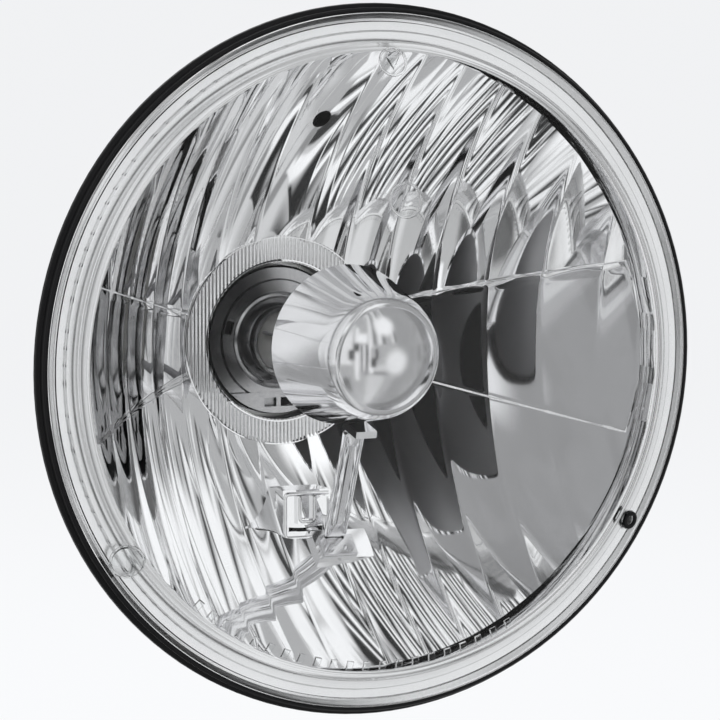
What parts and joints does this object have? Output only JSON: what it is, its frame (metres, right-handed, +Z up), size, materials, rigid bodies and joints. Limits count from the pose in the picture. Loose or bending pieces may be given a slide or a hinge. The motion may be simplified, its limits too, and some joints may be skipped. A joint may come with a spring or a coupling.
{
  "type": "round motorcycle headlight",
  "caption": "Round headlamp unit with a domed clear lens, a vertically fluted mirror reflector, a chromed bulb shield on a leg, and a bulb held behind by a hinged wire clip.",
  "frame": {"origin": "centre of the flat seat ring on the back of the rim", "axes": "+Y is the lamp's axis towards its back, the lens faces -Y; +Z is up; +X is to the right when looking at the lens"},
  "size_m": [0.178, 0.1049, 0.178],
  "materials": {
    "lens_glass": "clear moulded glass",
    "sealant_clear": "matt",
    "reflector_black": "satin black outside, vacuum-metallised mirror inside",
    "shield_chrome": "polished",
    "leg_steel": "bright plated",
    "bulb_glass": "clear quartz",
    "bulb_steel": "bright plated",
    "insulator": "matt",
    "terminal": "tinned",
    "filament": "drawn wire",
    "cement": "matt",
    "zinc_steel": "zinc plated",
    "spring_wire": "bright drawn wire"
  },
  "bodies": {
    "lamp": {"lens": "lens_glass", "lens_sealant": "sealant_clear", "reflector": "reflector_black", "bulb_shield": "shield_chrome", "shield_leg": "leg_steel", "leg_rivets": "leg_steel", "bulb_glass": "bulb_glass", "bulb_collar": "bulb_steel", "bulb_flange": "bulb_steel", "bulb_base": "bulb_steel", "base_insulator": "insulator", "terminal_low_beam": "terminal", "terminal_high_beam": "terminal", "terminal_earth": "terminal", "filament_high": "filament", "filament_low": "filament", "low_beam_cup": "filament", "lead_common": "filament", "lead_high": "filament", "lead_low": "filament", "bulb_cement": "cement", "bulb_seat_ring": "zinc_steel", "seat_screws": "zinc_steel", "hinge_bracket": "zinc_steel", "clip_rivets": "zinc_steel", "clip_catch": "zinc_steel"},
    "clip": {"bulb_clip": "spring_wire"}
  },
  "joints": [
    {"name": "bulb_clip_hinge", "type": "hinge", "parent": "lamp", "child": "clip", "pos_m": [0, 0.06207, 0.0271], "axis": [1, 0, 0], "range_deg": [0, 110]}
  ]
}
